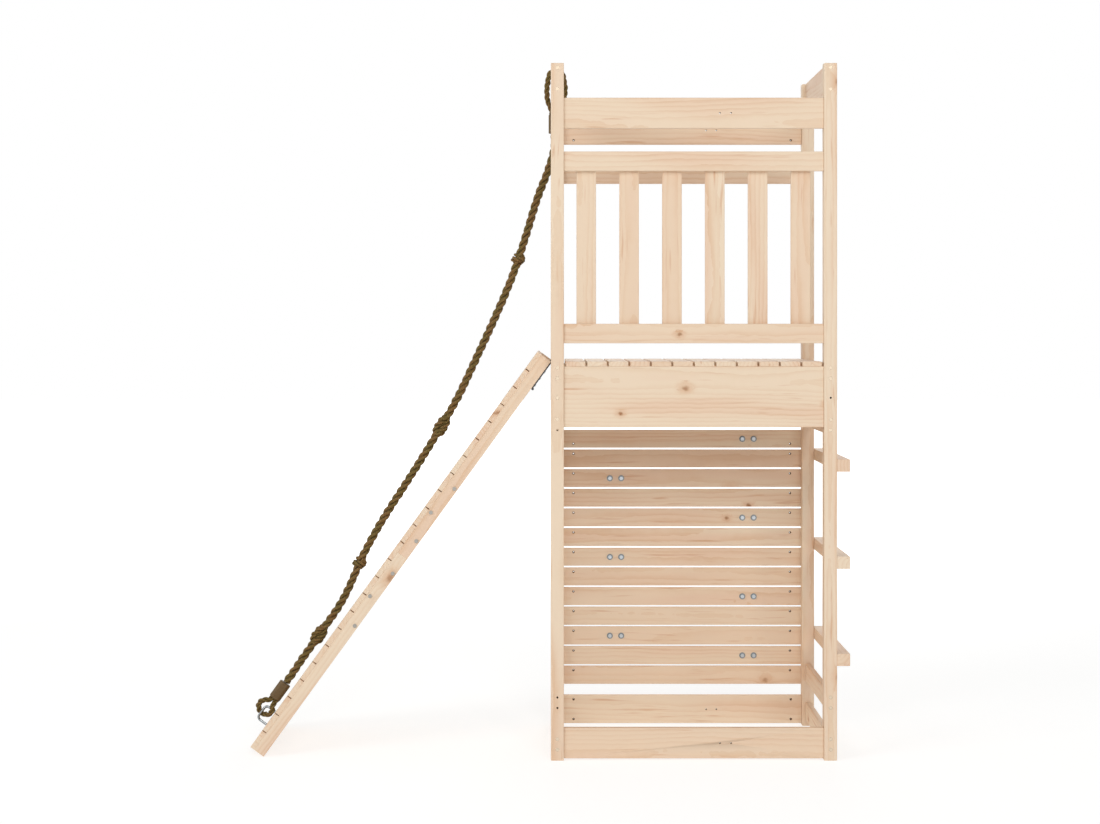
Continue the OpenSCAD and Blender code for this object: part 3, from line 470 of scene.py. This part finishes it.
def knot_lines(place, length):
    """Lines of one knot on the rope: a long one's strands, or a short one's wraps and the tuck across them."""
    at = place * (len(rope_fine) - 1)
    i = int(at)
    middle = rope_fine[i].lerp(rope_fine[i + 1], at - i)
    axis = (rope_fine[i + 1] - rope_fine[i - 1]).normalized()
    out = axis.orthogonal().normalized()
    side = axis.cross(out)
    strand = KNOT_D * 0.20
    reach = KNOT_D / 2 - strand
    if length > LONG_KNOT:
        return [(barrel_strand(middle, axis, out, side, length, strand, reach, k), strand) for k in range(4)]
    turns = 1.6
    wraps = []
    for k in range(33):
        t = k / 32
        rise = min(1.0, 5 * t, 5 * (1 - t))
        turn = 2 * math.pi * turns * t
        wraps.append(middle + axis * (length - 2 * strand) * (t - 0.5)
                     + (out * math.cos(turn) + side * math.sin(turn)) * reach * (0.35 + 0.65 * rise))
    tuck = []
    for k in range(17):
        t = k / 16
        rise = math.sin(math.pi * t)
        turn = math.radians(200) + 1.9 * (t - 0.5)
        tuck.append(middle + axis * (length - 1.4 * strand) * (0.5 - t)
                    + (out * math.cos(turn) + side * math.sin(turn)) * reach * (0.25 + 0.85 * rise))
    return [(wraps, strand), (tuck, strand * 0.85)]


knot_mesh = bmesh.new()
for knot_place, knot_length in zip(KNOT_PLACES, KNOT_LENGTHS):
    for knot_line, knot_radius in knot_lines(knot_place, knot_length):
        twist_rope(knot_mesh, even_steps(knot_line, 0.004), knot_radius, EYE_LAY)
bmesh.ops.recalc_face_normals(knot_mesh, faces=knot_mesh.faces)
knots = finished("rope_knot_wraps", knot_mesh, ROPE_FIBRE, "rope")
smooth_shaded(knots)
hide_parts("rope_knots")

rope_head, rope_foot = rope_fine[0], rope_fine[-1]
eye_reach = SWING_CLEAR + SLEEVE_LEN + SOFT_CLEAR
top_base = rope_head + Vector((0, 0, eye_reach))
top_points = [top_base + metres(x, 0, z) for x, z in TOP_EYE_ROUTE]
foot_base = rope_foot - SLOPE * eye_reach
foot_points = []
for along, across, away in FOOT_EYE_ROUTE:
    foot_points.append(foot_base + SLOPE * along / 1000 + metres(0, across, 0) + SLOPE_OUT * away / 1000)
for eye_name, eye_points in (("top_eye", top_points), ("foot_eye", foot_points)):
    eye_mesh = bmesh.new()
    eye_line = even_steps(curve_through(eye_points, 6), 0.004)
    twist_rope(eye_mesh, eye_line, EYE_D / 2, EYE_LAY, [EYE_PROUD] * len(eye_line))
    bmesh.ops.recalc_face_normals(eye_mesh, faces=eye_mesh.faces)
    eye = finished(eye_name + "_strand", eye_mesh, ROPE_FIBRE, "frame")
    smooth_shaded(eye)
    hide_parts(eye_name)


def merged_copy(node):
    """A bmesh of a CAD node with its loose triangles joined and its flat faces cleaned."""
    bm = bmesh.new()
    bm.from_mesh(NODES[node].data)
    bmesh.ops.remove_doubles(bm, verts=bm.verts, dist=1e-6)
    bmesh.ops.dissolve_limit(bm, angle_limit=math.radians(1), verts=bm.verts, edges=bm.edges)
    return bm


def sharp_edges(bm, least_length):
    return [e for e in bm.edges if len(e.link_faces) == 2 and e.calc_length() > least_length
            and e.calc_face_angle(0.0) > math.radians(50)]


for sleeve_node in ("top_sleeve", "foot_sleeve"):
    sleeve_mesh = merged_copy(sleeve_node)
    bmesh.ops.bevel(sleeve_mesh, geom=sharp_edges(sleeve_mesh, 0.0), offset=0.0022, offset_type="OFFSET",
                    segments=3, profile=0.5, affect="EDGES", clamp_overlap=False, material=-1)
    sleeve = finished(sleeve_node + "_moulding", sleeve_mesh, SLEEVE, "frame")
    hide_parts(sleeve_node)

# Fittings keep their solids and get their finishes
FITTINGS = {
    "frame_screws": SCREW_ZINC, "board_screws": SCREW_ZINC, "rung_bolts": BOLT_ZINC, "ramp_bolts": BOLT_ZINC,
    "bracket_screws": ZINC, "anchor_nuts": ZINC, "rope_anchor": BRIGHT_ZINC,
    "bracket_front": BLACK_STEEL, "bracket_back": BLACK_STEEL,
}
for fitting, finish in FITTINGS.items():
    NODES[fitting].data.materials.clear()
    NODES[fitting].data.materials.append(finish)

# Wood: which way the grain runs in each piece
ALONG_X, ALONG_Y, ALONG_Z = Vector((1, 0, 0)), Vector((0, 1, 0)), Vector((0, 0, 1))
GRAIN = {
    "post_": ALONG_Z, "slat_": ALONG_Z,
    "front_": ALONG_X, "back_": ALONG_X, "hand_rail": ALONG_X, "foot_rail": ALONG_X, "wall_boards": ALONG_X,
    "left_": ALONG_Y, "right_": ALONG_Y, "rung_": ALONG_Y, "deck_boards": ALONG_Y, "ramp_boards": ALONG_Y,
    "ramp_beam_": SLOPE, "ramp_splice_": SLOPE,
}
EDGE_ROUND = 0.0018
# The ramp's boards and beams meet in a tighter joint
RAMP_ROUND = 0.0008
# Boxes' edges are longer than this, and the rims of drilled holes shorter
LEAST_EDGE = 0.005
# Boxes' faces are larger than this, and the facets of drilled holes smaller
DRILLED_AREA = 0.00015
SAME_PLANE = 1e-5


def islands(bm):
    """The separate boards in a mesh."""
    left = set(bm.verts)
    found = []
    for first in bm.verts:
        if first not in left:
            continue
        left.remove(first)
        board, edge = [first], [first]
        while edge:
            for e in edge.pop().link_edges:
                for v in e.verts:
                    if v in left:
                        left.remove(v)
                        board.append(v)
                        edge.append(v)
        found.append(board)
    return found


def grained(bm, along, dice):
    """Gives each board its own place in a log: X and Y across the grain, Z along it."""
    grain = bm.verts.layers.float_vector.new("grain")
    tone = bm.verts.layers.float.new("tone")
    across = along.cross(ALONG_Y if abs(along.y) < 0.5 else ALONG_X).normalized()
    third = along.cross(across)
    for board in islands(bm):
        middle = sum((v.co for v in board), Vector()) / len(board)
        pith = Vector((dice.uniform(-0.05, 0.05), dice.choice((-1, 1)) * dice.uniform(0.012, 0.07), 0))
        start = dice.uniform(0, 40)
        shade = dice.random()
        for v in board:
            local = v.co - middle
            v[grain] = (local.dot(across) + pith.x, local.dot(third) + pith.y, local.dot(along) + start)
            v[tone] = shade


def drilled_facets(bm):
    """The facets of drilled holes: small faces that lie in no large face's plane."""
    bm.normal_update()
    planes = [(f.normal.copy(), f.normal.dot(f.verts[0].co)) for f in bm.faces if f.calc_area() > DRILLED_AREA]
    found = []
    for f in bm.faces:
        spot = f.verts[0].co
        in_plane = any(f.normal.dot(n) > 0.999 and abs(n.dot(spot) - d) < SAME_PLANE for n, d in planes)
        if not in_plane:
            found.append(f)
    return found


dice = random.Random(21)
for wood_node in sorted(NODES):
    along = next((d for p, d in GRAIN.items() if wood_node.startswith(p)), None)
    if along is None or wood_node in FITTINGS:
        continue
    wood_mesh = merged_copy(wood_node)
    # Facets of drilled holes take the darker end grain, which is partly painted shade
    for facet in drilled_facets(wood_mesh):
        facet.material_index = 1
    edge_round = RAMP_ROUND if wood_node.startswith("ramp_") else EDGE_ROUND
    bmesh.ops.bevel(wood_mesh, geom=sharp_edges(wood_mesh, LEAST_EDGE), offset=edge_round, offset_type="OFFSET",
                    segments=2, profile=0.5, affect="EDGES", clamp_overlap=False, material=-1)
    grained(wood_mesh, along, dice)
    wood = finished(wood_node + "_pine", wood_mesh, PINE, "frame")
    wood.data.materials.append(DRILLED)
    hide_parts(wood_node)

# The holds' bolts: bright nuts and thread ends on washers of a darker zinc, a painted shade round each nut
WASHER_T = 0.002
bolt_mesh = merged_copy("hold_bolts")
bmesh.ops.bevel(bolt_mesh, geom=sharp_edges(bolt_mesh, 0.0), offset=0.0004, offset_type="OFFSET", segments=2,
                profile=0.5, affect="EDGES", clamp_overlap=True, material=-1)
nut_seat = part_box("wall_boards")[0][1] - WASHER_T
# Washers take the darker zinc of painted shade, nuts and thread ends the bright zinc
for face in bolt_mesh.faces:
    face.material_index = int(face.calc_center_median().y < nut_seat - EDGE_ROUND / 10)
hold_bolts = finished("hold_bolt_sets", bolt_mesh, WASHER_SHADE_ZINC, "frame")
hold_bolts.data.materials.append(ZINC)
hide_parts("hold_bolts")

# Climbing holds: cast lumps in four colours
HOLD_COLOURS = ["#B4392F", "#D9A62E", "#4E8A4A", "#3C6C9C"]
HOLD_NAMES = ["red_resin", "yellow_resin", "green_resin", "blue_resin"]
resins = [cast_resin(n, c) for n, c in zip(HOLD_NAMES, HOLD_COLOURS)]
hold_mesh = merged_copy("climbing_holds")
for i, lump in enumerate(sorted(islands(hold_mesh), key=lambda lump: -max(v.co.z for v in lump))):
    for face in {f for v in lump for f in v.link_faces}:
        face.material_index = i % len(resins)
        face.smooth = True
for edge in hold_mesh.edges:
    edge.smooth = edge.calc_face_angle(0.0) < math.radians(40)
holds = finished("cast_holds", hold_mesh, resins[0], "frame")
for resin in resins[1:]:
    holds.data.materials.append(resin)
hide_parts("climbing_holds")

# Floor, backdrop and light
floor_mesh = bmesh.new()
bmesh.ops.create_grid(floor_mesh, x_segments=1, y_segments=1, size=30)
bmesh.ops.translate(floor_mesh, verts=floor_mesh.verts, vec=(0, 0, -0.0005))
floor_data = bpy.data.meshes.new("floor")
floor_mesh.to_mesh(floor_data)
floor_mesh.free()
floor = bpy.data.objects.new("floor", floor_data)
bpy.context.scene.collection.objects.link(floor)
floor_material, floor_tree, floor_shader = new_material("matt_white_floor")
floor_shader.inputs["Base Color"].default_value = linear("#F4F4F2")
floor_shader.inputs["Roughness"].default_value = 0.9
light_path = add(floor_tree, "LightPath").outputs
seen = add(floor_tree, "Math", {0: light_path["Is Camera Ray"], 1: light_path["Is Glossy Ray"]}, operation="MAXIMUM")
seen = add(floor_tree, "Math", {0: seen.outputs["Value"], 1: light_path["Is Transmission Ray"]}, operation="MAXIMUM")
# The floor glows a little towards the part, which fills the shade under the deck, and fades to plain white far off
glow = add(floor_tree, "Emission", {"Color": (1, 1, 1, 1), "Strength": 1.37})
part = add(floor_tree, "MapRange", {"Value": seen.outputs["Value"], 3: 0.27, 4: 0.50})
spot = add(floor_tree, "TexCoord").outputs["Object"]
away = add(floor_tree, "VectorMath", {0: spot}, operation="LENGTH")
far = add(floor_tree, "MapRange", {"Value": away.outputs["Value"], 1: 1.0, 2: 6.0}, interpolation_type="SMOOTHSTEP")
far_seen = add(floor_tree, "Math", {0: far.outputs["Result"], 1: seen.outputs["Value"]}, operation="MULTIPLY")
part = add(floor_tree, "Math", {0: part.outputs["Result"], 1: far_seen.outputs["Value"]}, operation="MAXIMUM")
floor_mix = add(floor_tree, "MixShader", {0: part.outputs["Value"], 1: floor_shader.outputs["BSDF"],
                                          2: glow.outputs["Emission"]})
floor_tree.links.new(floor_mix.outputs["Shader"], floor_tree.nodes["Material Output"].inputs["Surface"])
floor_data.materials.append(floor_material)

world = bpy.data.worlds.new("studio")
bpy.context.scene.world = world
world.use_nodes = True
sky = world.node_tree
sky_light = sky.nodes["Background"]
sky_light.inputs["Color"].default_value = (1, 1, 1, 1)
sky_light.inputs["Strength"].default_value = 0.42
white = add(sky, "Background", {"Color": (1, 1, 1, 1), "Strength": 1.0})
rays = add(sky, "LightPath").outputs
shown = add(sky, "Math", {0: rays["Is Camera Ray"], 1: rays["Is Glossy Ray"]}, operation="MAXIMUM")
shown = add(sky, "Math", {0: shown.outputs["Value"], 1: rays["Is Transmission Ray"]}, operation="MAXIMUM")
sky_mix = add(sky, "MixShader", {0: shown.outputs["Value"], 1: sky_light.outputs["Background"],
                                 2: white.outputs["Background"]})
sky.links.new(sky_mix.outputs["Shader"], sky.nodes["World Output"].inputs["Surface"])


def soft_lamp(name, place, target, size, power):
    data = bpy.data.lights.new(name, "AREA")
    data.size = size
    data.energy = power
    lamp = bpy.data.objects.new(name, data)
    lamp.location = place
    lamp.rotation_euler = (Vector(target) - Vector(place)).to_track_quat("-Z", "Y").to_euler()
    bpy.context.scene.collection.objects.link(lamp)


soft_lamp("key", (-9.5, -8.5, 7.4), (0, 0, 1.0), 6.0, 480)
soft_lamp("fill", (2.0, -12.0, 5.8), (0, 0, 1.0), 4.5, 430)
soft_lamp("back", (0.8, 6.0, 2.6), (0, 0, 1.0), 3.0, 70)

bpy.context.scene.view_settings.view_transform = "Standard"
